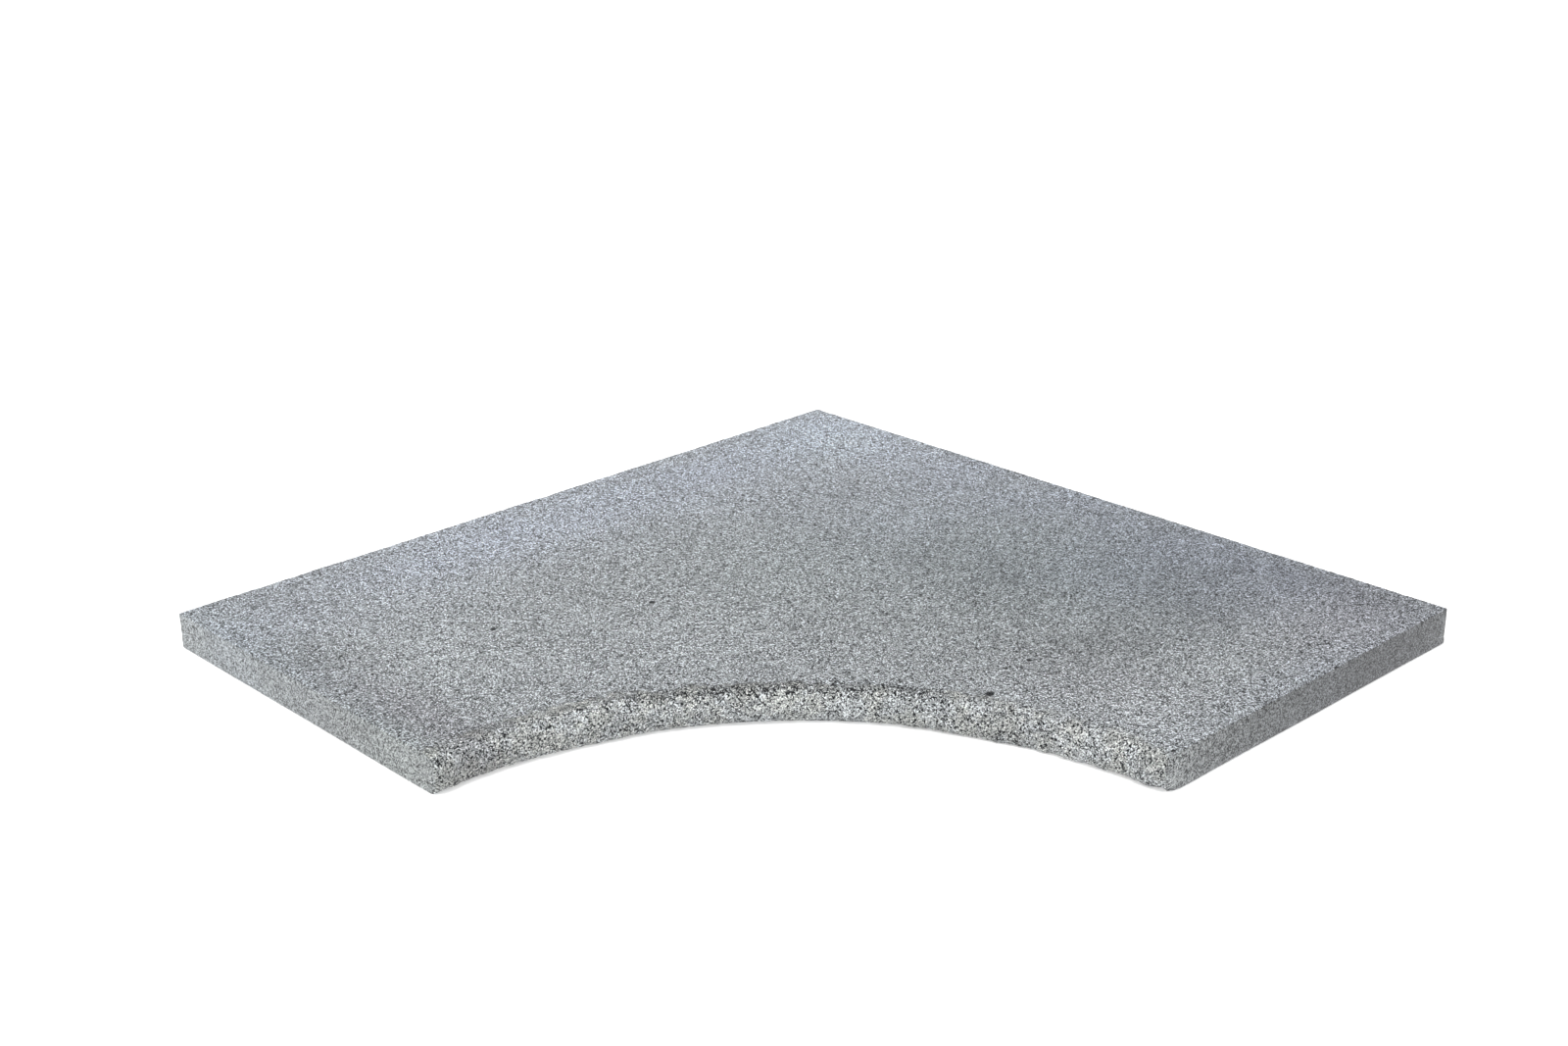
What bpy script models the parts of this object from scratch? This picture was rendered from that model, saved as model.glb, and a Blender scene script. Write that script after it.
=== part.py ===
"""Inside-corner coping stone: one flat granite slab with a quarter circle taken out of a corner.

Metres, +Z up. The slab lies on Z = 0 with the centre of its square outline on the Z axis.
The quarter circle is taken out of the corner at +X, -Y. Its edge is worked to a rounded
profile. The four straight sides are sawn, with a small arris.
"""

from math import cos, radians, sin

import bmesh
import bpy

# Plan
JOINT_WIDTH = 0.350        # each sawn end, where the next stone joins
ARC_RADIUS = 0.335         # inner edge, in plan
RUN_IN = 0.015             # straight stretch between the arc and each sawn end

# Section
THICKNESS = 0.030
TOP_ROUNDING = 0.010       # worked edge, top
BOTTOM_ROUNDING = 0.008    # worked edge, underside
ARRIS = 0.001              # every sawn edge

# Fineness of the curves
ARC_STEPS = 48
ROUNDING_STEPS = 6
ARRIS_STEPS = 2

# Limits for edges between faces
FLAT_ANGLE = radians(0.1)
SMOOTH_ANGLE = radians(30)

# The outline's sides, in a frame whose centre is the middle of the square
HALF_SIDE = (JOINT_WIDTH + RUN_IN + ARC_RADIUS) / 2
WORKED_X = JOINT_WIDTH - HALF_SIDE
WORKED_Y = HALF_SIDE - JOINT_WIDTH
ARC_CENTRE_X = WORKED_X + ARC_RADIUS
ARC_CENTRE_Y = WORKED_Y - ARC_RADIUS
LARGER_ROUNDING = max(TOP_ROUNDING, BOTTOM_ROUNDING)

GRANITE_COLOUR = (0.30, 0.32, 0.34, 1.0)
GRANITE_ROUGHNESS = 0.7


def clear_scene():
    """Remove whatever the open scene holds."""
    for obj in list(bpy.data.objects):
        bpy.data.objects.remove(obj, do_unlink=True)


def new_collection(name):
    """A collection of this name, linked to the scene."""
    collection = bpy.data.collections.new(name)
    bpy.context.scene.collection.children.link(collection)
    return collection


def granite_material():
    """Grey granite, as a plain Principled material."""
    material = bpy.data.materials.new("granite")
    material.use_nodes = True
    shader = material.node_tree.nodes["Principled BSDF"]
    shader.inputs["Base Color"].default_value = GRANITE_COLOUR
    shader.inputs["Roughness"].default_value = GRANITE_ROUGHNESS
    shader.inputs["Metallic"].default_value = 0.0
    material.diffuse_color = GRANITE_COLOUR
    return material


def arc_points():
    """The quarter circle from its lower end, by the -Y side, to its end by the +X side."""
    points = []
    for step in range(ARC_STEPS + 1):
        turn = radians(180 - 90 * step / ARC_STEPS)
        x = ARC_CENTRE_X + ARC_RADIUS * cos(turn)
        y = ARC_CENTRE_Y + ARC_RADIUS * sin(turn)
        points.append((x, y))
    return points


def outline_points():
    """The slab's outline, anticlockwise from above."""
    back_corners = [(HALF_SIDE, HALF_SIDE), (-HALF_SIDE, HALF_SIDE), (-HALF_SIDE, -HALF_SIDE)]
    lower_end = (WORKED_X, -HALF_SIDE)
    upper_end = (HALF_SIDE, WORKED_Y)
    return back_corners + [lower_end] + arc_points() + [upper_end]


def outline_curve(name, points, thickness):
    """A closed flat curve, filled on both sides and extruded to the thickness."""
    curve = bpy.data.curves.new(name, "CURVE")
    curve.dimensions = "2D"
    curve.fill_mode = "BOTH"
    curve.extrude = thickness / 2
    spline = curve.splines.new("POLY")
    spline.points.add(len(points) - 1)
    for point, (x, y) in zip(spline.points, points):
        point.co = (x, y, 0.0, 1.0)
    spline.use_cyclic_u = True
    return bpy.data.objects.new(name, curve)


def mesh_from_curve(curve_object, collection):
    """A mesh object in the curve's place, with its caps welded and each cap one face."""
    name = curve_object.name
    collection.objects.link(curve_object)
    bpy.context.view_layer.update()
    graph = bpy.context.evaluated_depsgraph_get()
    mesh = bpy.data.meshes.new_from_object(curve_object.evaluated_get(graph))
    matrix = curve_object.matrix_world.copy()
    bpy.data.objects.remove(curve_object, do_unlink=True)

    solid = bmesh.new()
    solid.from_mesh(mesh)
    bmesh.ops.remove_doubles(solid, verts=solid.verts, dist=0.00001)
    bmesh.ops.dissolve_limit(
        solid, angle_limit=FLAT_ANGLE, verts=solid.verts, edges=solid.edges
    )
    bmesh.ops.recalc_face_normals(solid, faces=solid.faces)
    solid.to_mesh(mesh)
    solid.free()

    obj = bpy.data.objects.new(name, mesh)
    obj.matrix_world = matrix
    collection.objects.link(obj)
    return obj


def on_worked_edge(vertex):
    """Whether a vertex lies on the arc or on the straight stretches beside it."""
    nearly = 0.00001
    return vertex.co.x > WORKED_X - nearly and vertex.co.y < WORKED_Y + nearly


def weigh_worked_edges(mesh):
    """Give each rim of the worked edge its rounding, as a share of the larger one."""
    solid = bmesh.new()
    solid.from_mesh(mesh)
    weight = solid.edges.layers.float.new("bevel_weight_edge")
    for edge in solid.edges:
        first, second = edge.verts
        level = abs(first.co.z - second.co.z) < THICKNESS / 2
        if level and on_worked_edge(first) and on_worked_edge(second):
            rounding = TOP_ROUNDING if first.co.z > 0 else BOTTOM_ROUNDING
            edge[weight] = rounding / LARGER_ROUNDING
    solid.to_mesh(mesh)
    solid.free()


def add_worked_rounding(obj):
    """Round the worked edge over at the top and underside."""
    rounding = obj.modifiers.new("worked_rounding", "BEVEL")
    rounding.limit_method = "WEIGHT"
    rounding.offset_type = "OFFSET"
    rounding.width = LARGER_ROUNDING
    rounding.segments = ROUNDING_STEPS
    rounding.use_clamp_overlap = False


def add_arris(obj):
    """Ease every edge that the saw left sharp."""
    arris = obj.modifiers.new("arris", "BEVEL")
    arris.limit_method = "ANGLE"
    arris.angle_limit = SMOOTH_ANGLE
    arris.offset_type = "OFFSET"
    arris.width = ARRIS
    arris.segments = ARRIS_STEPS
    arris.use_clamp_overlap = False


def granite_slab(collection):
    """The whole stone, lying on Z = 0."""
    curve = outline_curve("granite_slab", outline_points(), THICKNESS)
    slab = mesh_from_curve(curve, collection)
    slab.location.z = THICKNESS / 2
    weigh_worked_edges(slab.data)
    add_worked_rounding(slab)
    add_arris(slab)
    slab.data.shade_smooth()
    slab.data.set_sharp_from_angle(angle=SMOOTH_ANGLE)
    slab.data.materials.clear()
    slab.data.materials.append(granite_material())
    return slab


def main():
    clear_scene()
    collection = new_collection("inside_corner_coping_slab")
    granite_slab(collection)


main()
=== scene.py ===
"""Looks of a granite inside-corner coping slab: flamed top, sawn sides, hammered inner edge."""

from math import atan2, cos, exp, hypot, pi, radians, sin

import bmesh
import bpy
from bpy.props import FloatProperty, FloatVectorProperty, IntProperty, PointerProperty
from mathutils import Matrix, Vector, geometry, noise


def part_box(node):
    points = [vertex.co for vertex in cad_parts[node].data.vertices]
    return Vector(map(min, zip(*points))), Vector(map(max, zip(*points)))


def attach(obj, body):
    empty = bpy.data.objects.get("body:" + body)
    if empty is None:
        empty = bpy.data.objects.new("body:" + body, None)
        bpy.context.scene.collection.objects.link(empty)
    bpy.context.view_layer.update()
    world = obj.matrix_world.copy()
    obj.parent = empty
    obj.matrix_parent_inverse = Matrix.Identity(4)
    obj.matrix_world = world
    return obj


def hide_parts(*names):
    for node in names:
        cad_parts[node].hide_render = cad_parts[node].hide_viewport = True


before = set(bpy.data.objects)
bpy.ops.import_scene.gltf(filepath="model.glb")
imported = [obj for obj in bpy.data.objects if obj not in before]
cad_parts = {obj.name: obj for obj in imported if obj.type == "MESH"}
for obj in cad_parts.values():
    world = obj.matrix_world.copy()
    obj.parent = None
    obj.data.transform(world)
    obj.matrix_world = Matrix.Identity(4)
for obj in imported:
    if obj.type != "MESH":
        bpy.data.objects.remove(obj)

bl_info = {
    "name": "Granite Coping Slab",
    "version": (1, 0, 0),
    "blender": (4, 5, 0),
    "location": "View3D > Sidebar > Stone",
    "description": "Makes an inside-corner coping slab of grey granite, and a pale stage for it",
    "category": "Add Mesh",
}

LOW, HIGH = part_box("granite_slab")
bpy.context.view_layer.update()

# The stone's two materials, in the order of its slots
DRESSED, SAWN = 0, 1

# The surfaces of a section, in the order it is drawn
WORKED, TOP, SIDE, BED = range(4)

# How far the chips reach in from a sawn edge
CHIP_REACH = 0.0035

# Where the hammered edge gives way to the flamed top, and the foot of the edge to its face, as
# distances past the edge's upper line. They are negative down the face.
HAMMERED_TO_FLAMED = (-0.001, 0.006)
FOOT_TO_FACE = (-0.034, -0.016)

# The knocked-off corners lose this share of their radius over this height from the foot
CORNER_LESSENING = 0.6
CORNER_HEIGHT = 0.016

# Edges between the two materials stay crisp if they turn by more than this
CREASE_ANGLE = radians(25)

# The floor lies this far under the stone, so that their faces don't meet
FLOOR_GAP = 0.0003

# Clouds in the tone of the top: x, y, reach along, reach across, turn in degrees, and how much
# lighter or darker
CLOUDS = (
    (-0.300, 0.000, 0.450, 0.170, 90, 0.15),
    (0.120, 0.190, 0.200, 0.150, 0, -0.12),
    (-0.310, 0.020, 0.300, 0.055, 90, 0.06),
    (-0.180, 0.320, 0.120, 0.060, 0, 0.10),
    (-0.130, -0.210, 0.110, 0.080, 60, 0.10),
    (0.290, 0.050, 0.060, 0.050, 0, 0.12),
    (-0.315, 0.325, 0.090, 0.060, 0, 0.20),
    (0.160, 0.235, 0.110, 0.080, 20, -0.08),
    (0.210, 0.250, 0.060, 0.040, 0, -0.05),
    (0.070, 0.160, 0.020, 0.014, 0, -0.14),
    (-0.160, 0.180, 0.024, 0.014, 30, -0.08),
    (-0.170, 0.130, 0.020, 0.014, 0, -0.08),
    (0.180, 0.090, 0.080, 0.024, 56, -0.11),
    (0.300, 0.130, 0.045, 0.035, 0, 0.08),
    (0.285, 0.030, 0.045, 0.022, 0, 0.07),
    (-0.025, -0.120, 0.090, 0.045, 70, 0.05),
    (-0.120, -0.250, 0.045, 0.030, 0, 0.06),
    (-0.130, -0.325, 0.120, 0.026, 0, -0.10),
    (-0.200, -0.310, 0.040, 0.020, 0, -0.10),
    (-0.050, -0.320, 0.030, 0.018, 0, -0.09),
    (0.300, 0.330, 0.070, 0.022, 0, -0.08),
    (0.220, 0.310, 0.140, 0.050, 0, -0.10),
    (-0.330, 0.180, 0.120, 0.040, 90, 0.07),
    (-0.290, -0.020, 0.400, 0.070, 90, 0.06),
    (-0.240, 0.300, 0.080, 0.060, 0, 0.10),
    (0.230, 0.330, 0.120, 0.025, 0, -0.10),
    (0.040, 0.150, 0.080, 0.080, 0, -0.07),
    (0.210, 0.220, 0.050, 0.040, 0, -0.06),
    (-0.175, -0.120, 0.070, 0.030, 90, -0.07),
    (-0.020, -0.130, 0.080, 0.045, 90, 0.06),
    (0.225, 0.000, 0.040, 0.035, 0, 0.07),
    (0.225, 0.100, 0.050, 0.030, 90, -0.07),
    (-0.080, -0.270, 0.050, 0.050, 0, 0.05),
)

# Clouds of bluish bloom on the top, set down in the same way
BLOOMS = (
    (-0.300, 0.000, 0.420, 0.075, 90, 0.9),
    (0.000, 0.320, 0.380, 0.060, 0, 0.8),
    (0.160, 0.235, 0.120, 0.080, 20, 0.7),
    (-0.100, 0.200, 0.160, 0.120, 0, 0.5),
    (0.190, 0.310, 0.070, 0.040, 0, 0.3),
    (0.350, 0.170, 0.140, 0.030, 90, 0.5),
    (-0.200, -0.350, 0.120, 0.030, 0, 0.4),
)

# Clouds of a greenish tint, or a pinkish one where the amount is negative
TINTS = (
    (0.070, 0.200, 0.160, 0.120, 0, 1.3),
    (-0.280, 0.290, 0.070, 0.060, 0, 0.8),
    (0.310, 0.280, 0.060, 0.090, 0, -1.2),
    (0.250, 0.060, 0.070, 0.060, 0, -0.6),
    (-0.060, -0.320, 0.080, 0.025, 0, -1.3),
    (-0.080, 0.050, 0.120, 0.100, 0, 0.6),
    (-0.260, -0.350, 0.120, 0.030, 0, 0.8),
    (-0.050, -0.350, 0.060, 0.025, 0, 1.2),
)

# Clouds in the tone of the sawn sides and of the worked edge, with painted shade among them
SIDE_CLOUDS_AND_SHADE = (
    # Painted shade: the +X side, turned away from the light, darker along its length
    (0.350, 0.175, 0.260, 0.020, 90, -0.40),
    (0.350, 0.300, 0.150, 0.020, 90, -0.21),
    (0.350, 0.010, 0.020, 0.020, 90, 0.20),
    (-0.170, -0.350, 0.230, 0.020, 0, 0.06),
    (-0.135, -0.350, 0.095, 0.020, 0, -0.17),
    # Painted shade: the -Y end of the worked edge, which faces +X, away from the light
    (0.010, -0.320, 0.050, 0.030, 90, -0.12),
    (0.220, -0.020, 0.045, 0.030, 0, -0.17),
)

# Where the foot of the worked edge was struck back further than elsewhere, or less far where
# the amount is negative. The rows are set down in the same way, with the amount in metres.
FOOT_HOLLOWS = (
    (0.086, -0.111, 0.070, 0.050, 45, 0.0019),
    (0.215, -0.022, 0.050, 0.050, 0, -0.0014),
)

# Dark inclusions in the top, the first of them standing for a pit's painted shade: x, y, radius
INCLUSIONS_AND_PIT_SHADE = (
    (0.200, -0.010, 0.0038),
    (-0.147, -0.193, 0.0026),
    (-0.099, -0.074, 0.0026),
    (0.183, 0.053, 0.0024),
)


# ---------------------------------------------------------------- properties

class SlabShape(bpy.types.PropertyGroup):
    """Sizes of the stone, and the fineness of its mesh."""

    joint_width: FloatProperty(
        name="Joint width", description="Length of each sawn end", default=0.350, unit="LENGTH")
    arc_radius: FloatProperty(
        name="Arc radius", description="Radius of the inner edge in plan", default=0.335,
        unit="LENGTH")
    top_rounding: FloatProperty(
        name="Top rounding", description="Radius along the top of the inner edge", default=0.010,
        unit="LENGTH")
    bottom_rounding: FloatProperty(
        name="Bottom rounding", description="Radius along the bottom of the inner edge",
        default=0.008, unit="LENGTH")
    arris: FloatProperty(
        name="Arris", description="Width eased off every sawn edge", default=0.0006,
        unit="LENGTH")
    left_corner: FloatProperty(
        name="Left corner", default=0.011, unit="LENGTH",
        description="Radius knocked off the foot of the inner edge's end at -Y")
    right_corner: FloatProperty(
        name="Right corner", default=0.017, unit="LENGTH",
        description="Radius knocked off the foot of the inner edge's end at +X")
    arc_columns: IntProperty(
        name="Arc columns", description="Sections round the quarter circle", default=520, min=8)
    run_in_columns: IntProperty(
        name="Run-in columns", description="Sections along each straight end of the inner edge",
        default=14, min=2)
    top_rows: IntProperty(
        name="Top rows", description="Rows of faces across the top", default=90, min=4)


class SlabRelief(bpy.types.PropertyGroup):
    """How far the surfaces depart from flat."""

    wander: FloatProperty(
        name="Wander", description="How far the hand-worked edge strays from its line",
        default=0.0012, unit="LENGTH")
    flakes: FloatProperty(
        name="Flakes", description="Depth of the flakes struck off the worked edge",
        default=0.0009, unit="LENGTH")
    dents: FloatProperty(
        name="Dents", description="Depth of the hammer's small dents", default=0.0006,
        unit="LENGTH")
    flaming: FloatProperty(
        name="Flaming", description="Depth of the hollows that the flame left in the top",
        default=0.0003, unit="LENGTH")
    chips: FloatProperty(
        name="Chips", description="Depth of the chips along the sawn edges", default=0.0008,
        unit="LENGTH")


class GraniteLook(bpy.types.PropertyGroup):
    """Colours of the crystals and of what the finishes do to them."""

    crystal_size: FloatProperty(
        name="Crystal size", description="Across one of the larger crystals", default=0.00088,
        unit="LENGTH")
    mica_share: FloatProperty(
        name="Mica share", description="Share of the crystals that are black", default=0.39,
        min=0, max=1)
    feldspar: FloatVectorProperty(
        name="Feldspar", description="Pale crystals", subtype="COLOR",
        default=(0.905, 0.955, 0.99), min=0, max=1)
    quartz: FloatVectorProperty(
        name="Quartz", description="Grey crystals", subtype="COLOR",
        default=(0.405, 0.428, 0.446), min=0, max=1)
    mica: FloatVectorProperty(
        name="Mica", description="Black crystals", subtype="COLOR",
        default=(0.010, 0.011, 0.013), min=0, max=1)
    bruised: FloatVectorProperty(
        name="Bruised feldspar", description="Pale crystals whitened by the hammer",
        subtype="COLOR", default=(0.885, 0.905, 0.880), min=0, max=1)
    bruised_quartz: FloatVectorProperty(
        name="Bruised quartz", description="Grey crystals dulled by the hammer",
        subtype="COLOR", default=(0.465, 0.483, 0.470), min=0, max=1)
    sawn_feldspar: FloatVectorProperty(
        name="Sawn feldspar", description="Pale crystals where the saw cut them",
        subtype="COLOR", default=(0.530, 0.553, 0.553), min=0, max=1)
    sawn_quartz: FloatVectorProperty(
        name="Sawn quartz", description="Grey crystals where the saw cut them",
        subtype="COLOR", default=(0.305, 0.320, 0.322), min=0, max=1)
    sawn_mica: FloatVectorProperty(
        name="Sawn mica", description="Black crystals where the saw cut them",
        subtype="COLOR", default=(0.026, 0.028, 0.030), min=0, max=1)
    bloom: FloatVectorProperty(
        name="Bloom", description="Bluish cast on parts of the top", subtype="COLOR",
        default=(0.97, 0.985, 1.08), min=0, max=2)


class StageSettings(bpy.types.PropertyGroup):
    """Floor, lights and camera."""

    floor_size: FloatProperty(
        name="Floor size", description="Side of the floor", default=24.0, unit="LENGTH")
    floor_colour: FloatVectorProperty(
        name="Floor colour", description="Of the plain floor", subtype="COLOR",
        default=(0.92, 0.92, 0.92), min=0, max=1)
    floor_glow: FloatProperty(
        name="Floor glow", description="Light that the translucent floor lets through from below",
        default=0.45, min=0)
    key_strength: FloatProperty(
        name="Key strength", description="Of the large soft light", default=1.90, min=0)
    key_spread: FloatProperty(
        name="Key spread", description="Angle that the soft light fills", default=radians(35),
        subtype="ANGLE")
    key_place: FloatVectorProperty(
        name="Key place", description="Where the soft light shines from, towards the stone",
        subtype="TRANSLATION", unit="LENGTH", default=(0.48, -1.52, 3.68))
    sky: FloatProperty(
        name="Sky", description="Strength of the white surroundings", default=0.55, min=0)
    camera_place: FloatVectorProperty(
        name="Camera place", description="Where the camera stands", subtype="TRANSLATION",
        unit="LENGTH", default=(1.1378, -1.0720, 0.7179))
    camera_turn: FloatVectorProperty(
        name="Camera turn", description="Which way the camera faces", subtype="EULER",
        default=(radians(68.54), radians(1.07), radians(46.87)))
    focal_length: FloatProperty(
        name="Focal length", description="In millimetres", default=50.24)
    sensor_width: FloatProperty(
        name="Sensor width", description="In millimetres", default=36.0)


# ---------------------------------------------------------------- outline

class Outline:
    """Where the inner edge runs in plan, from the stone's box and its shape settings."""

    def __init__(self, shape):
        self.edge_x = LOW.x + shape.joint_width
        self.edge_y = HIGH.y - shape.joint_width
        self.centre_x = self.edge_x + shape.arc_radius
        self.centre_y = self.edge_y - shape.arc_radius
        self.radius = shape.arc_radius
        self.run_in = self.centre_y - LOW.y

    def into_stone(self, x, y):
        """Distance of a point in plan from the inner edge, growing into the stone."""
        return hypot(min(x - self.centre_x, 0.0), max(y - self.centre_y, 0.0)) - self.radius


class Column:
    """One upright section through the stone, from the inner edge to an outer side."""

    def __init__(self, foot, inward, reach, inset=0.0):
        self.foot = foot          # on the line of the inner edge, in plan
        self.inward = inward      # unit vector into the stone, in plan
        self.reach = reach        # from the foot to the outer side
        self.inset = inset        # drawn in by this much, for the arris round a sawn end

    def place(self, depth, height):
        """The point this far in from the foot, at this height."""
        x = self.foot[0] + self.inward[0] * depth
        y = self.foot[1] + self.inward[1] * depth
        return Vector((x, y, height))


def run_in_places(shape, outline):
    """Distances of the straight stretch's columns from the sawn end, outermost first."""
    steps = shape.run_in_columns
    length = outline.run_in - shape.arris
    return [shape.arris + length * step / steps for step in range(steps)]


def arc_columns(shape, outline):
    """Radial columns round the quarter circle, with one on each side of the back corner's arris.

    A column runs from the arc to whichever of the two outer sides it meets first. A side that it
    runs parallel to, or nearly so, is left out.
    """
    parallel = 0.001
    before_corner = atan2(HIGH.y - shape.arris - outline.centre_y, LOW.x - outline.centre_x)
    after_corner = atan2(HIGH.y - outline.centre_y, LOW.x + shape.arris - outline.centre_x)
    half = shape.arc_columns // 2
    turns = [pi + (before_corner - pi) * step / half for step in range(half + 1)]
    turns += [after_corner + (pi / 2 - after_corner) * step / half for step in range(half + 1)]
    columns = []
    for turn in turns:
        inward = (cos(turn), sin(turn))
        foot_x = outline.centre_x + outline.radius * inward[0]
        foot_y = outline.centre_y + outline.radius * inward[1]
        reaches = []
        if inward[0] < -parallel:
            reaches.append((LOW.x - foot_x) / inward[0])
        if inward[1] > parallel:
            reaches.append((HIGH.y - foot_y) / inward[1])
        columns.append(Column((foot_x, foot_y), inward, min(reaches)))
    return columns


def slab_columns(shape, outline):
    """All the sections of the stone, from the sawn end at -Y round the arc to the one at +X."""
    width = shape.joint_width
    places = run_in_places(shape, outline)
    columns = [Column((outline.edge_x, LOW.y), (-1, 0), width, shape.arris)]
    for place in places:
        columns.append(Column((outline.edge_x, LOW.y + place), (-1, 0), width))
    columns += arc_columns(shape, outline)
    for place in reversed(places):
        columns.append(Column((HIGH.x - place, outline.edge_y), (0, 1), width))
    columns.append(Column((HIGH.x, outline.edge_y), (0, 1), width, shape.arris))
    return columns


# ---------------------------------------------------------------- mesh of the stone

def eased(share, end_step):
    """The same share from 0 to 1, with steps at both ends that are only this part of even ones."""
    return share - (1 - end_step) * sin(2 * pi * share) / (2 * pi)


def section(shape, column):
    """A closed ring of points round a column, from the foot of the inner edge up and round.

    Each point is its depth into the stone, its height, its surface, and its distance past the
    upper line of the worked edge.
    """
    inset = column.inset
    base = LOW.z + inset
    peak = HIGH.z - inset
    reach = column.reach - inset
    low_radius = shape.bottom_rounding
    top_radius = shape.top_rounding
    upright = HIGH.z - LOW.z - low_radius - top_radius
    flat = reach - shape.arris - top_radius
    bed = reach - shape.arris - low_radius
    low_steps, upright_steps, top_steps, side_steps, bed_steps = 10, 12, 14, 12, 14
    top_end_step, bed_end_step = 0.25, 0.1

    ring = []
    for step in range(low_steps):
        turn = pi / 2 * step / low_steps
        depth = low_radius - (low_radius - inset) * sin(turn)
        height = LOW.z + low_radius - (low_radius - inset) * cos(turn)
        past = low_radius * (turn - pi / 2) - upright - top_radius * pi / 2
        ring.append((depth, height, WORKED, past))
    for step in range(upright_steps):
        rise = upright * step / upright_steps
        past = rise - upright - top_radius * pi / 2
        ring.append((inset, LOW.z + low_radius + rise, WORKED, past))
    for step in range(top_steps):
        turn = pi / 2 * step / top_steps
        depth = top_radius - (top_radius - inset) * cos(turn)
        height = HIGH.z - top_radius + (top_radius - inset) * sin(turn)
        ring.append((depth, height, WORKED, top_radius * (turn - pi / 2)))
    for step in range(shape.top_rows + 1):
        past = flat * eased(step / shape.top_rows, top_end_step)
        ring.append((top_radius + past, peak, TOP, past))
    for step in range(side_steps + 1):
        drop = shape.arris + (peak - base - 2 * shape.arris) * step / side_steps
        ring.append((reach, peak - drop, SIDE, flat))
    for step in range(bed_steps):
        depth = low_radius + bed * (1 - eased(step / bed_steps, bed_end_step))
        ring.append((depth, base, BED, flat))
    return ring


def fill_sawn_end(solid, column, ring, verts):
    """Close the ring of a sawn end with triangles between points spread inside it.

    The points stand in staggered rows, with fewer of them where the ring narrows to the rounded
    edge.
    """
    outline = [Vector((depth, height)) for depth, height, _, _ in ring]
    heights = (0.005, 0.010, 0.015, 0.020, 0.025)
    narrow_depths, narrow_heights = (0.003, 0.007), heights[1:4]
    near, far = 0.011, column.reach - 0.006
    spacing, stagger = 0.005, 0.0012
    steps = round((far - near) / spacing)
    inner = []
    for step in range(steps + 1):
        depth = near + (far - near) * step / steps
        shift = stagger if step % 2 else -stagger
        inner += [Vector((depth, LOW.z + height + shift)) for height in heights]
    for depth in narrow_depths:
        inner += [Vector((depth, LOW.z + height)) for height in narrow_heights]
    keep_inside, tolerance = 1, 1e-7
    found, _, faces, sources, _, _ = geometry.delaunay_2d_cdt(
        outline + inner, [], [list(range(len(outline)))], keep_inside, tolerance)
    corners = []
    for point, source in zip(found, sources):
        on_ring = [index for index in source if index < len(outline)]
        corners.append(verts[on_ring[0]] if on_ring else solid.verts.new(column.place(*point)))
    for face in faces:
        made = solid.faces.new([corners[index] for index in face])
        made.material_index = SAWN


def slab_solid(shape, outline):
    """A bmesh of the whole stone with true surfaces, and its layer of distances past the edge."""
    solid = bmesh.new()
    past_layer = solid.verts.layers.float.new("past_worked")
    columns = slab_columns(shape, outline)
    rings = [section(shape, column) for column in columns]
    grid = []
    for column, ring in zip(columns, rings):
        verts = []
        for depth, height, _, past in ring:
            vert = solid.verts.new(column.place(depth, height))
            vert[past_layer] = past
            verts.append(vert)
        grid.append(verts)
    surfaces = [surface for _, _, surface, _ in rings[0]]
    count = len(surfaces)
    for left, right in zip(grid, grid[1:]):
        for row in range(count):
            after = (row + 1) % count
            face = solid.faces.new((left[row], left[after], right[after], right[row]))
            sawn = surfaces[row] in (SIDE, BED) or surfaces[after] == SIDE
            face.material_index = SAWN if sawn else DRESSED
    fill_sawn_end(solid, columns[0], rings[0], grid[0])
    fill_sawn_end(solid, columns[-1], rings[-1], grid[-1])
    bmesh.ops.recalc_face_normals(solid, faces=solid.faces)
    return solid, past_layer


# ---------------------------------------------------------------- relief of the stone

def cloud(x, y, clouds):
    """Sum of soft elliptical clouds at a point in plan, from rows of one of the tables above."""
    total = 0.0
    for centre_x, centre_y, along, across, turn, strength in clouds:
        turn = radians(turn)
        right = (x - centre_x) * cos(turn) + (y - centre_y) * sin(turn)
        up = (y - centre_y) * cos(turn) - (x - centre_x) * sin(turn)
        total += strength * exp(-(right / along) ** 2 - (up / across) ** 2)
    return total


def smoothstep(low, high, value):
    """0 up to low, 1 from high on, and eased between them."""
    share = min(max((value - low) / (high - low), 0.0), 1.0)
    return share * share * (3 - 2 * share)


def lumps(point, *layers):
    """Sum of noises at a point, each given as (lumps per metre, weight)."""
    return sum(weight * noise.noise(point * density) for density, weight in layers)


def hammered(point, relief):
    """Height of the hand-worked edge over its true line."""
    dents_per_metre = 300
    wander = lumps(point, (12, 1.0), (33, 0.5))
    flakes = lumps(point, (90, 1.0), (190, 0.6))
    near, second = noise.voronoi(point * dents_per_metre)[0][:2]
    dents = min(second - near, 0.5) - 0.3
    return relief.wander * wander + relief.flakes * flakes + relief.dents * dents


def flamed(point, relief):
    """Height of the flamed top over its true plane, nearly all of it below."""
    return relief.flaming * (lumps(point, (50, 0.6), (150, 0.4), (9, 0.6)) - 1.0)


def chipped(point, relief):
    """Depth of the chips along a sawn edge, many small ones and a few large ones."""
    small = max(lumps(point, (170, 1.0)) - 0.05, 0.0)
    large = max(lumps(point, (40, 1.0)) - 0.3, 0.0)
    return relief.chips * (0.9 * small + 2.5 * large)


def edge_distance(point, into_stone):
    """Distance of a point on the surface from the nearest sawn edge."""
    planes = sorted((
        point.x - LOW.x, HIGH.x - point.x, point.y - LOW.y, HIGH.y - point.y,
        point.z - LOW.z, HIGH.z - point.z))
    ends = min(point.y - LOW.y, HIGH.x - point.x)
    return min(planes[1], hypot(ends, into_stone))


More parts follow.
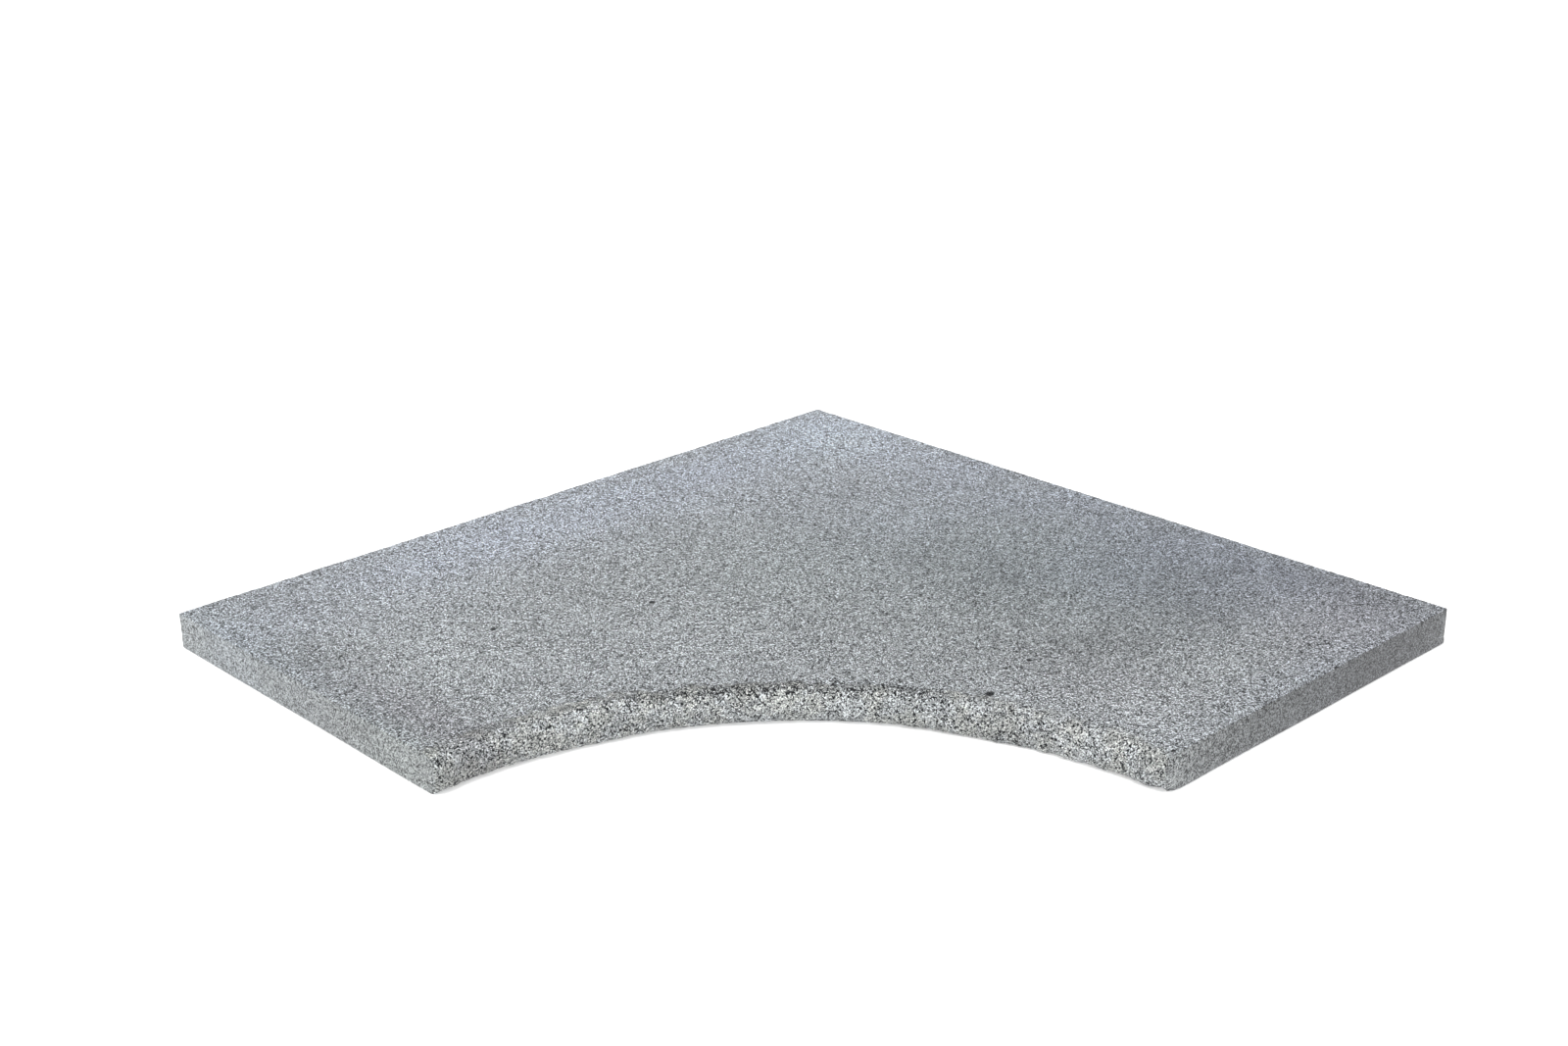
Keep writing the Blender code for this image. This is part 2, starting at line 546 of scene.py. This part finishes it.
def corner_pull(from_end, from_edge, height, radius):
    """How far a point near an upright corner is drawn in from the sawn end and the inner edge."""
    lessening = CORNER_LESSENING * smoothstep(0.0, CORNER_HEIGHT, height - LOW.z)
    here = radius * (1 - lessening)
    across = here - from_end
    along = here - from_edge
    if across <= 0 or along <= 0:
        return 0.0, 0.0
    share = max(across, along) / hypot(across, along)
    return across * (1 - share), along * (1 - share)


def knock_off_corners(point, outline, shape):
    """Round both upright corners of the inner edge, most of all at the foot."""
    pull = corner_pull(
        point.y - LOW.y, outline.edge_x - point.x, point.z, shape.left_corner)
    point.y += pull[0]
    point.x -= pull[1]
    pull = corner_pull(
        HIGH.x - point.x, point.y - outline.edge_y, point.z, shape.right_corner)
    point.x -= pull[0]
    point.y += pull[1]


def relief_height(vert, past_layer, relief, outline):
    """Height of the relief at a vertex over the true surface."""
    point = vert.co
    into_stone = outline.into_stone(point.x, point.y)
    near_edge = 1 - smoothstep(0.0, CHIP_REACH, edge_distance(point, into_stone))
    height = -near_edge * chipped(point, relief)
    if any(face.material_index == DRESSED for face in vert.link_faces):
        past = vert[past_layer]
        worked = 1 - smoothstep(*HAMMERED_TO_FLAMED, past)
        height += worked * hammered(point, relief) + (1 - worked) * flamed(point, relief)
        at_foot = 1 - smoothstep(*FOOT_TO_FACE, past)
        height -= at_foot * cloud(point.x, point.y, FOOT_HOLLOWS)
    return height


def add_relief(solid, past_layer, shape, relief, outline):
    """Move each vertex along its normal by its relief, and keep it inside the stone's box.

    The underside, whose normals point straight down, stays flat.
    """
    straight_down = -0.99
    solid.normal_update()
    moved = []
    for vert in solid.verts:
        point = vert.co.copy()
        if vert.normal.z > straight_down:
            point += vert.normal * relief_height(vert, past_layer, relief, outline)
        knock_off_corners(point, outline, shape)
        point.x = min(max(point.x, LOW.x), HIGH.x)
        point.y = min(max(point.y, LOW.y), HIGH.y)
        point.z = min(max(point.z, LOW.z), HIGH.z)
        moved.append(point)
    for vert, point in zip(solid.verts, moved):
        vert.co = point


def add_clouds(mesh):
    """Point attributes of the clouds of tone, of bluish bloom, of tint, and of the sides' tone
    with its painted shade.
    """
    layers = (("tone", CLOUDS), ("bloom", BLOOMS), ("side_tone_and_shade", SIDE_CLOUDS_AND_SHADE), ("tint", TINTS))
    for name, clouds in layers:
        values = mesh.attributes.new(name, "FLOAT", "POINT").data
        for vert in mesh.vertices:
            values[vert.index].value = cloud(vert.co.x, vert.co.y, clouds)


def mark_sharp_edges(solid):
    """Shade smooth, but keep the edges where sawn faces meet dressed ones crisp."""
    for face in solid.faces:
        face.smooth = True
    for edge in solid.edges:
        if len(edge.link_faces) == 2:
            materials = {face.material_index for face in edge.link_faces}
            sharp = len(materials) == 2 and edge.calc_face_angle(0.0) > CREASE_ANGLE
            edge.smooth = not sharp


# ---------------------------------------------------------------- shader building

class Graph:
    """Adds nodes to a node tree, with inputs given as values or as sockets to link from."""

    def __init__(self, tree):
        self.tree = tree

    def link(self, value, socket):
        """Give a socket a plain value, or link another node's output to it."""
        if isinstance(value, bpy.types.NodeSocket):
            self.tree.links.new(value, socket)
        else:
            socket.default_value = value

    def add(self, kind, inputs=None, **settings):
        """A new node of this kind, with its inputs by name or number and its own settings."""
        made = self.tree.nodes.new(kind)
        for name, value in settings.items():
            setattr(made, name, value)
        for name, value in (inputs or {}).items():
            self.link(value, made.inputs[name])
        return made

    def math(self, operation, *values):
        """The result of a Math node."""
        made = self.add("ShaderNodeMath", dict(enumerate(values)), operation=operation)
        return made.outputs[0]

    def vector(self, operation, *values):
        """The result of a Vector Math node."""
        made = self.add("ShaderNodeVectorMath", dict(enumerate(values)), operation=operation)
        return made.outputs[0]

    def scaled(self, vector, scale):
        """A vector times a number."""
        made = self.add(
            "ShaderNodeVectorMath", {"Vector": vector, "Scale": scale}, operation="SCALE")
        return made.outputs[0]

    def span(self, value, low, high, to_low=0.0, to_high=1.0):
        """A value taken from low..high to to_low..to_high, eased and held at both ends."""
        made = self.add(
            "ShaderNodeMapRange",
            {"Value": value, "From Min": low, "From Max": high,
             "To Min": to_low, "To Max": to_high},
            interpolation_type="SMOOTHSTEP")
        return made.outputs["Result"]

    def mix(self, share, first, second, blend="MIX"):
        """The first colour with this share of the second blended in."""
        made = self.add("ShaderNodeMix", data_type="RGBA", blend_type=blend)
        self.link(share, made.inputs[0])
        self.link(first, made.inputs[6])
        self.link(second, made.inputs[7])
        return made.outputs[2]

    def mix_values(self, share, first, second):
        """The first number with this share of the second blended in."""
        made = self.add("ShaderNodeMix", data_type="FLOAT")
        self.link(share, made.inputs[0])
        self.link(first, made.inputs[2])
        self.link(second, made.inputs[3])
        return made.outputs[0]

    def noise(self, vector, scale, detail=2.0, roughness=0.5):
        """Cloudy noise from 0 to 1, with about this many lumps to the metre."""
        made = self.add(
            "ShaderNodeTexNoise",
            {"Vector": vector, "Scale": scale, "Detail": detail, "Roughness": roughness})
        return made.outputs["Fac"]

    def cells(self, vector, scale):
        """Three random numbers for each cell of a cell pattern, and the distance from its centre.

        The pattern has about this many cells to the metre.
        """
        made = self.add("ShaderNodeTexVoronoi", {"Vector": vector, "Scale": scale})
        split = self.add("ShaderNodeSeparateColor", {"Color": made.outputs["Color"]})
        return (*split.outputs[:3], made.outputs["Distance"])

    def attribute(self, name):
        """The number that the mesh holds for each point under this name."""
        return self.add("ShaderNodeAttribute", attribute_name=name).outputs["Fac"]

    def group(self, tree, inputs):
        """The outputs of a node group, placed with these inputs."""
        return self.add("ShaderNodeGroup", inputs, node_tree=tree).outputs


def new_group(name, inputs, outputs):
    """A shader node group with these sockets, and its Graph, inputs and output node."""
    tree = bpy.data.node_groups.new(name, "ShaderNodeTree")
    for socket_name, kind, default in inputs:
        socket = tree.interface.new_socket(socket_name, in_out="INPUT", socket_type=kind)
        if default is not None:
            socket.default_value = default
    for socket_name, kind in outputs:
        tree.interface.new_socket(socket_name, in_out="OUTPUT", socket_type=kind)
    graph = Graph(tree)
    return graph, graph.add("NodeGroupInput").outputs, graph.add("NodeGroupOutput").inputs


def crystals_group():
    """Granite's crystals: their colours, where the mica is, and how high each one stands."""
    graph, given, result = new_group(
        "Granite Crystals",
        (
            ("Vector", "NodeSocketVector", None),
            ("Crystal Size", "NodeSocketFloat", 0.002),
            ("Mica Share", "NodeSocketFloat", 0.14),
            ("Large Mica Share", "NodeSocketFloat", 0.02),
            ("Clumping", "NodeSocketFloat", 0.5),
            ("Feldspar", "NodeSocketColor", (0.5, 0.5, 0.5, 1)),
            ("Quartz", "NodeSocketColor", (0.3, 0.3, 0.3, 1)),
            ("Mica", "NodeSocketColor", (0.05, 0.05, 0.05, 1)),
        ),
        (
            ("Colour", "NodeSocketColor"),
            ("Mica Mask", "NodeSocketFloat"),
            ("Height", "NodeSocketFloat"),
        ),
    )
    vector = given["Vector"]
    size = given["Crystal Size"]
    density = graph.math("DIVIDE", 1.0, size)
    warp_density = graph.math("MULTIPLY", density, 1.1)
    fleck_density = graph.math("MULTIPLY", density, 1.6)
    book_density = graph.math("MULTIPLY", density, 0.32)
    clump_density = graph.math("MULTIPLY", density, 0.13)
    cluster_density = graph.math("MULTIPLY", density, 0.22)

    # Bend the pattern, so that the crystals' borders aren't straight
    warp = graph.add(
        "ShaderNodeTexNoise", {"Vector": vector, "Scale": warp_density, "Detail": 2.0})
    shift = graph.vector("SUBTRACT", warp.outputs["Color"], (0.5, 0.5, 0.5))
    bent = graph.vector("ADD", vector, graph.scaled(shift, graph.math("MULTIPLY", size, 0.7)))

    # Crystals, smaller flecks among them, and thick books of mica here and there
    kind, shade, blackness, _ = graph.cells(bent, density)
    fleck, fleck_height, fleck_blackness, _ = graph.cells(bent, fleck_density)
    book, _, _, book_distance = graph.cells(bent, book_density)

    # Pale feldspar or grey quartz, each crystal and fleck lighter or darker than the next
    clump = graph.math("SUBTRACT", graph.noise(vector, clump_density), 0.5)
    paleness = graph.math("MULTIPLY_ADD", clump, given["Clumping"], kind)
    base = graph.mix(graph.span(paleness, 0.50, 0.60), given["Quartz"], given["Feldspar"])
    grain = graph.math("MULTIPLY_ADD", shade, 0.6, 0.7)
    speckle = graph.math("MULTIPLY_ADD", fleck, 0.6, 0.7)
    toned = graph.mix(1.0, base, graph.math("MULTIPLY", grain, speckle), "MULTIPLY")

    # Mica in clusters, as whole crystals, as flecks and as books
    cluster = graph.span(graph.noise(vector, cluster_density, 1.0), 0.3, 0.7, 0.75, 1.25)
    share = graph.math("MULTIPLY", given["Mica Share"], cluster)
    crystal_mica = graph.math("LESS_THAN", blackness, graph.math("MULTIPLY", share, 0.9))
    fleck_mica = graph.math("LESS_THAN", fleck_blackness, graph.math("MULTIPLY", share, 0.25))
    is_book = graph.math("LESS_THAN", book, given["Large Mica Share"])
    book_mica = graph.math("MULTIPLY", is_book, graph.math("LESS_THAN", book_distance, 0.40))
    mica = graph.math("MAXIMUM", graph.math("MAXIMUM", crystal_mica, fleck_mica), book_mica)

    # Crystals stand at different heights, and mica lies lowest
    bulk = graph.math("MULTIPLY_ADD", shade, 0.5, graph.math("MULTIPLY", fleck_height, 0.5))
    height = graph.math("MULTIPLY", bulk, graph.math("SUBTRACT", 1.0, mica))

    graph.link(graph.mix(mica, toned, given["Mica"]), result["Colour"])
    graph.link(mica, result["Mica Mask"])
    graph.link(height, result["Height"])
    return graph.tree


def clouding_group():
    """Slow changes of tone and cast over the stone, multiplied into its colour."""
    graph, given, result = new_group(
        "Stone Clouding",
        (
            ("Vector", "NodeSocketVector", None),
            ("Colour", "NodeSocketColor", (0.5, 0.5, 0.5, 1)),
            ("Tone", "NodeSocketFloat", 0.0),
            ("Cast Amount", "NodeSocketFloat", 0.0),
            ("Cast", "NodeSocketColor", (1, 1, 1, 1)),
            ("Green Tint", "NodeSocketFloat", 0.0),
            ("Mottling", "NodeSocketFloat", 0.08),
        ),
        (("Colour", "NodeSocketColor"),),
    )
    vector = given["Vector"]
    broad = graph.math("SUBTRACT", graph.noise(vector, 14.0, 3.0), 0.5)
    close = graph.math("SUBTRACT", graph.noise(vector, 75.0), 0.5)
    mottle = graph.math("MULTIPLY", graph.math("ADD", broad, close), given["Mottling"])
    factor = graph.math("ADD", graph.math("ADD", 1.0, given["Tone"]), mottle)
    toned = graph.mix(1.0, given["Colour"], factor, "MULTIPLY")

    patchy = graph.span(broad, -0.25, 0.15, 0.6, 1.0)
    amount = graph.math("MULTIPLY", given["Cast Amount"], patchy)
    cast = graph.mix(amount, toned, graph.mix(1.0, toned, given["Cast"], "MULTIPLY"))

    greener = graph.scaled((-0.010, 0.015, 0.0), given["Green Tint"])
    tint = graph.vector("ADD", greener, (1.0, 1.0, 1.0))
    graph.link(graph.mix(1.0, cast, tint, "MULTIPLY"), result["Colour"])
    return graph.tree


def new_material(name):
    """A material with an empty Principled shader, its Graph, and object coordinates."""
    material = bpy.data.materials.new(name)
    material.use_nodes = True
    graph = Graph(material.node_tree)
    shader = material.node_tree.nodes["Principled BSDF"]
    place = graph.add("ShaderNodeTexCoord").outputs["Object"]
    return material, graph, shader, place


def opaque(colour):
    """A colour with full alpha, as sockets want it."""
    return (*colour, 1.0)


def inclusion_and_pit_shade_mask(graph, place):
    """A mask of the few dark inclusions in the top, one of them a pit's painted shade."""
    ragged = graph.math("MULTIPLY", graph.noise(place, 420.0), 0.6)
    mask = 0.0
    for x, y, radius in INCLUSIONS_AND_PIT_SHADE:
        away = graph.add(
            "ShaderNodeVectorMath", {0: place, 1: (x, y, HIGH.z)}, operation="DISTANCE")
        share = graph.math("DIVIDE", away.outputs["Value"], radius)
        spot = graph.span(graph.math("ADD", share, ragged), 1.0, 1.5, 1.0, 0.0)
        mask = graph.math("MAXIMUM", spot, mask)
    return mask


def distance_past_edge(graph, place, x):
    """Distance past the worked edge's upper line, made ragged as the hammer leaves it.

    At the -Y end of the edge the hammering spreads further over the top.
    """
    raggedness, extra_spread = 0.008, 0.008
    ragged = graph.math(
        "MULTIPLY_ADD", graph.noise(place, 110.0, 3.0), 2 * raggedness, -raggedness)
    along = graph.math("ADD", x, graph.math("MULTIPLY", ragged, 4.0))
    spread = graph.span(along, 0.0, 0.06, -extra_spread, 0.0)
    past = graph.math("ADD", graph.attribute("past_worked"), ragged)
    return graph.math("ADD", past, spread)


def mica_and_shade_line_mask(graph, x, past):
    """A mask of the dark line along the worked edge's top: more mica, and painted shade for the
    broken hollow where the finishes meet.

    It is faint at the -Y end, and fades out before the +X end.
    """
    mask = graph.span(past, -0.0125, -0.0075)
    beyond = graph.span(past, 0.0, 0.0025, 1.0, 0.0)
    first_end = graph.span(x, -0.01, 0.03, 0.4, 1.0)
    second_end = graph.span(x, 0.08, 0.23, 1.0, 0.0)
    for part in (beyond, first_end, second_end):
        mask = graph.math("MULTIPLY", mask, part)
    return mask


def set_gloss(graph, shader, stone, rough, relief_rough, mica_rough, specular):
    """Make the crystals rougher the higher they stand, and the mica smoother than the rest."""
    crystal_rough = graph.math("MULTIPLY_ADD", stone["Height"], relief_rough, rough)
    roughness = graph.mix_values(stone["Mica Mask"], crystal_rough, mica_rough)
    graph.link(roughness, shader.inputs["Roughness"])
    shader.inputs["IOR"].default_value = 1.5
    shader.inputs["Specular IOR Level"].default_value = specular


def set_bump(graph, shader, height, strength, distance):
    """Raise the surface by a height, for the light only."""
    bump = graph.add(
        "ShaderNodeBump", {"Height": height, "Strength": strength, "Distance": distance})
    graph.link(bump.outputs["Normal"], shader.inputs["Normal"])


def dressed_material(look, crystals, clouding):
    """Granite with a flamed face, turning to a hammered one past the line of the worked edge."""
    material, graph, shader, place = new_material("flamed and hammered granite")
    x = graph.add("ShaderNodeSeparateXYZ", {"Vector": place}).outputs["X"]
    past = distance_past_edge(graph, place, x)

    # The finishes meet along a crisp line that gets softer towards the +X end
    softness = graph.span(x, 0.17, 0.25, 0.0015, 0.0060)
    flamed_share = graph.span(past, graph.math("MULTIPLY", softness, -1.0), softness)
    hammered_share = graph.math("SUBTRACT", 1.0, flamed_share)

    # The hammer whitens the crystals in patches
    patches = graph.span(graph.noise(place, 60.0, 3.0, 0.6), 0.38, 0.60, 0.25, 1.0)
    bruising = graph.math("MULTIPLY", hammered_share, patches)
    feldspar = graph.mix(bruising, opaque(look.feldspar), opaque(look.bruised))
    quartz = graph.mix(bruising, opaque(look.quartz), opaque(look.bruised_quartz))

    # The top of the edge holds a dark line, of more mica and of painted shade, and its foot is
    # darker too
    line = mica_and_shade_line_mask(graph, x, past)
    foot = graph.span(past, -0.032, -0.014, 1.0, 0.0)
    mica_share = graph.mix_values(flamed_share, 0.29, look.mica_share)
    # The line's darkening is painted shade; the foot is darkened as well
    shading = graph.math("MULTIPLY_ADD", line, -0.16, graph.math("MULTIPLY", foot, -0.19))
    # The sides' clouds add painted shade at the -Y end of the hammered edge
    shading = graph.math(
        "MULTIPLY_ADD", graph.attribute("side_tone_and_shade"), hammered_share, shading)
    top_tone = graph.math("MULTIPLY", graph.attribute("tone"), flamed_share)

    stone = graph.group(crystals, {
        "Vector": place,
        "Crystal Size": look.crystal_size,
        "Mica Share": graph.math("MULTIPLY_ADD", line, 0.22, mica_share),
        "Large Mica Share": graph.mix_values(flamed_share, 0.045, 0.012),
        "Clumping": graph.mix_values(flamed_share, 0.7, 0.0),
        "Feldspar": feldspar,
        "Quartz": quartz,
        "Mica": opaque(look.mica),
    })
    clouded = graph.group(clouding, {
        "Vector": place,
        "Colour": stone["Colour"],
        "Tone": graph.math("ADD", top_tone, shading),
        "Cast Amount": graph.math("MULTIPLY", graph.attribute("bloom"), flamed_share),
        "Cast": opaque(look.bloom),
        "Green Tint": graph.attribute("tint"),
        "Mottling": graph.mix_values(flamed_share, 0.35, 0.12),
    })
    # The spots take the mica's colour; the one by the worked edge is painted shade in a pit
    spotted = graph.mix(inclusion_and_pit_shade_mask(graph, place), clouded["Colour"], opaque(look.mica))
    graph.link(spotted, shader.inputs["Base Color"])
    set_gloss(
        graph, shader, stone, rough=0.62, relief_rough=0.15, mica_rough=0.38, specular=0.35)

    pitting = graph.math("MULTIPLY", graph.noise(place, 900.0, 3.0, 0.6), 0.6)
    height = graph.math("ADD", stone["Height"], pitting)
    set_bump(graph, shader, height, strength=1.0, distance=0.0010)
    return material


def sawn_material(look, crystals, clouding):
    """Granite as the saw left it: flatter in tone, with faint arcs from the blade."""
    material, graph, shader, place = new_material("sawn granite")
    mica_left_by_saw = 0.85
    stone = graph.group(crystals, {
        "Vector": place,
        "Crystal Size": look.crystal_size,
        "Mica Share": look.mica_share * mica_left_by_saw,
        "Large Mica Share": 0.015,
        "Clumping": 0.3,
        "Feldspar": opaque(look.sawn_feldspar),
        "Quartz": opaque(look.sawn_quartz),
        "Mica": opaque(look.sawn_mica),
    })
    # The sides' clouds darken the +X side as painted shade
    clouded = graph.group(clouding, {
        "Vector": place,
        "Colour": stone["Colour"],
        "Tone": graph.attribute("side_tone_and_shade"),
        "Cast Amount": graph.attribute("bloom"),
        "Cast": opaque(look.bloom),
        "Green Tint": graph.attribute("tint"),
        "Mottling": 0.14,
    })
    graph.link(clouded["Colour"], shader.inputs["Base Color"])
    set_gloss(
        graph, shader, stone, rough=0.52, relief_rough=0.12, mica_rough=0.35, specular=0.4)

    sweep = graph.add(
        "ShaderNodeTexWave",
        {"Vector": place, "Scale": 90.0, "Distortion": 1.5, "Detail": 2.0},
        wave_type="RINGS", rings_direction="SPHERICAL")
    height = graph.math("MULTIPLY_ADD", sweep.outputs["Fac"], 0.25, stone["Height"])
    set_bump(graph, shader, height, strength=0.3, distance=0.0002)
    return material


def floor_material(settings):
    """A plain pale floor that glows a little, as a light table does."""
    material, _, shader, _ = new_material("pale floor")
    shader.inputs["Base Color"].default_value = opaque(settings.floor_colour)
    shader.inputs["Emission Color"].default_value = opaque(settings.floor_colour)
    shader.inputs["Emission Strength"].default_value = settings.floor_glow
    shader.inputs["Roughness"].default_value = 0.9
    shader.inputs["Specular IOR Level"].default_value = 0.1
    return material


def white_surroundings(settings):
    """A world that gives soft light, and that shows as plain white."""
    world = bpy.data.worlds.new("white surroundings")
    world.use_nodes = True
    background = world.node_tree.nodes["Background"]
    background.inputs["Color"].default_value = (1, 1, 1, 1)
    graph = Graph(world.node_tree)
    seen = graph.add("ShaderNodeLightPath").outputs["Is Camera Ray"]
    graph.link(graph.mix_values(seen, settings.sky, 1.0), background.inputs["Strength"])
    return world


def add_floor(scene, settings):
    """A wide plain floor just under the stone."""
    half = settings.floor_size / 2
    mesh = bpy.data.meshes.new("floor")
    corners = [(-half, -half, 0), (half, -half, 0), (half, half, 0), (-half, half, 0)]
    mesh.from_pydata(corners, [], [(0, 1, 2, 3)])
    mesh.materials.append(floor_material(settings))
    floor = bpy.data.objects.new("floor", mesh)
    floor.location.z = LOW.z - FLOOR_GAP
    scene.collection.objects.link(floor)


def add_key_light(scene, settings):
    """A large soft light that shines on the middle of the stone."""
    light = bpy.data.lights.new("key light", "SUN")
    light.angle = settings.key_spread
    light.energy = settings.key_strength
    key = bpy.data.objects.new("key light", light)
    key.location = settings.key_place
    key.rotation_euler = (-key.location).to_track_quat("-Z", "Y").to_euler()
    scene.collection.objects.link(key)


def add_camera(scene, settings):
    """The camera that looks at the stone."""
    lens = bpy.data.cameras.new("camera")
    lens.sensor_width = settings.sensor_width
    lens.lens = settings.focal_length
    lens.clip_end = 100
    camera = bpy.data.objects.new("camera", lens)
    camera.location = settings.camera_place
    camera.rotation_euler = settings.camera_turn
    scene.collection.objects.link(camera)
    scene.camera = camera


# ---------------------------------------------------------------- operators

class STONE_OT_slab(bpy.types.Operator):
    """Make the granite slab"""

    bl_idname = "stone.slab"
    bl_label = "Granite Slab"
    bl_options = {"REGISTER", "UNDO"}

    def execute(self, context):
        scene = context.scene
        shape = scene.slab_shape
        outline = Outline(shape)
        solid, past_layer = slab_solid(shape, outline)
        add_relief(solid, past_layer, shape, scene.slab_relief, outline)
        mark_sharp_edges(solid)
        mesh = bpy.data.meshes.new("granite_coping_slab")
        solid.to_mesh(mesh)
        solid.free()
        add_clouds(mesh)

        crystals = crystals_group()
        clouding = clouding_group()
        mesh.materials.append(dressed_material(scene.granite_look, crystals, clouding))
        mesh.materials.append(sawn_material(scene.granite_look, crystals, clouding))
        slab = bpy.data.objects.new("granite_coping_slab", mesh)
        scene.collection.objects.link(slab)
        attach(slab, "root")
        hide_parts("granite_slab")
        return {"FINISHED"}


class STONE_OT_stage(bpy.types.Operator):
    """Make the floor, lights and camera"""

    bl_idname = "stone.stage"
    bl_label = "Stage"
    bl_options = {"REGISTER", "UNDO"}

    def execute(self, context):
        scene = context.scene
        settings = scene.stone_stage
        add_floor(scene, settings)
        scene.world = white_surroundings(settings)
        add_key_light(scene, settings)
        add_camera(scene, settings)
        scene.view_settings.view_transform = "Standard"
        return {"FINISHED"}


class STONE_PT_panel(bpy.types.Panel):
    """Settings and makers for the stone and its stage"""

    bl_label = "Granite Coping Slab"
    bl_idname = "STONE_PT_panel"
    bl_space_type = "VIEW_3D"
    bl_region_type = "UI"
    bl_category = "Stone"

    def draw(self, context):
        scene = context.scene
        groups = {
            "stone.slab": (scene.slab_shape, scene.slab_relief, scene.granite_look),
            "stone.stage": (scene.stone_stage,),
        }
        for operator, settings in groups.items():
            self.layout.operator(operator)
            for group in settings:
                box = self.layout.box()
                for name in group.__annotations__:
                    box.prop(group, name)


# ---------------------------------------------------------------- running

SETTINGS = {
    "slab_shape": SlabShape,
    "slab_relief": SlabRelief,
    "granite_look": GraniteLook,
    "stone_stage": StageSettings,
}
CLASSES = (*SETTINGS.values(), STONE_OT_slab, STONE_OT_stage, STONE_PT_panel)


def register():
    """Register the classes, and give each scene its settings."""
    for cls in CLASSES:
        bpy.utils.register_class(cls)
    for name, group in SETTINGS.items():
        setattr(bpy.types.Scene, name, PointerProperty(type=group))


def unregister():
    """Take back what register did."""
    for name in SETTINGS:
        delattr(bpy.types.Scene, name)
    for cls in reversed(CLASSES):
        bpy.utils.unregister_class(cls)


def main():
    """Make the stone and its stage."""
    register()
    bpy.ops.stone.slab()
    bpy.ops.stone.stage()


if __name__ == "__main__":
    main()
